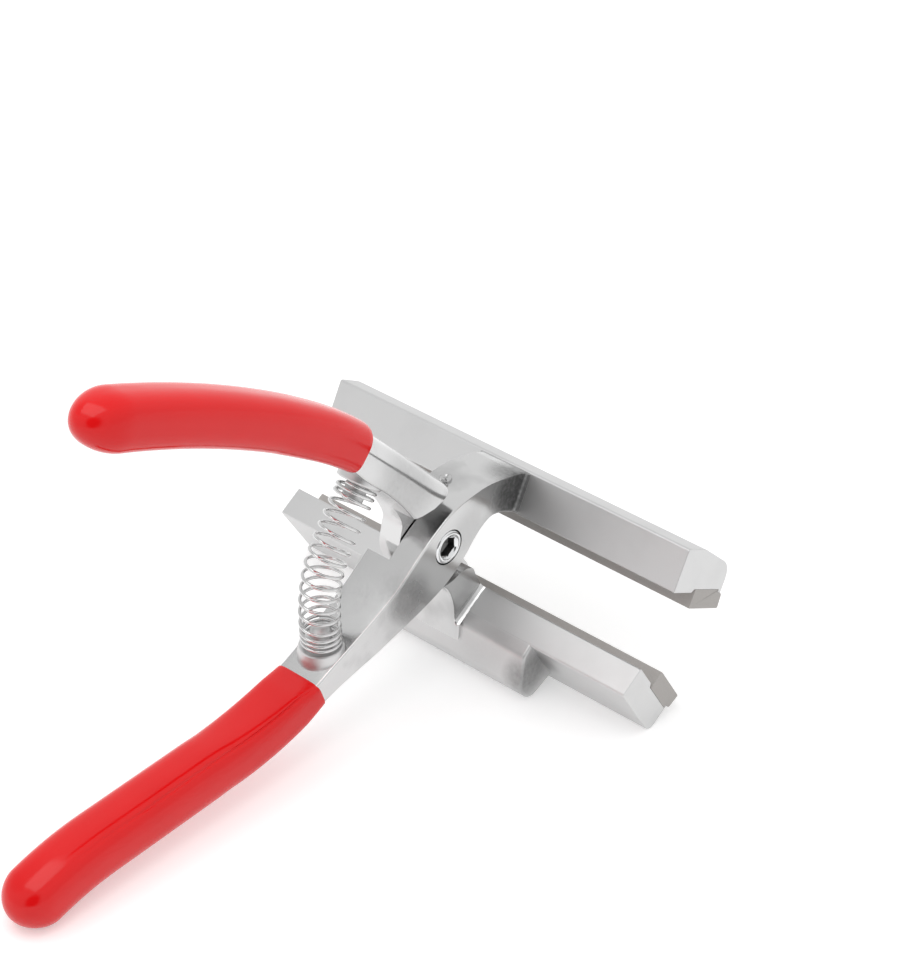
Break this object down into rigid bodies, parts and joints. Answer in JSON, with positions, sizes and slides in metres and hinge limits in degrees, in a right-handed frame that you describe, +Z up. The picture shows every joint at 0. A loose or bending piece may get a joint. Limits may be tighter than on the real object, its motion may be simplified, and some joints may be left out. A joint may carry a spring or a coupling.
{
  "type": "canvas pliers",
  "caption": "Wide-jaw pliers that grip canvas between two padded jaws, with a sprung pivot and dipped plastic grips.",
  "frame": {"origin": "centre of the part's box at the ground it stands on", "axes": "+Y from the handles to the jaws, +Z up, +X along the pivot towards the screw's head"},
  "size_m": [0.12, 0.1878, 0.128],
  "materials": {
    "plated_casting": "satin nickel plating on a casting",
    "plated_screw": "bright plating",
    "spring_wire": "bright drawn wire",
    "pad_rubber": "matt",
    "red_dip": "glossy dipped vinyl"
  },
  "bodies": {
    "upper_jaw_side": {"upper_jaw_lever": "plated_casting", "upper_jaw_pad": "pad_rubber", "lower_grip": "red_dip", "return_spring": "spring_wire"},
    "lower_jaw_side": {"lower_jaw_lever": "plated_casting", "lower_jaw_pad": "pad_rubber", "upper_grip": "red_dip", "pivot_screw": "plated_screw", "pivot_nut": "plated_screw"}
  },
  "joints": [
    {"name": "jaw_pivot", "type": "hinge", "parent": "upper_jaw_side", "child": "lower_jaw_side", "pos_m": [0, 0.04578, 0.04112], "axis": [1, 0, 0], "range_deg": [0, 29.2], "stiffness_Nm_per_rad": 2.5, "springref_deg": -10.31, "deforming": ["return_spring"]}
  ]
}
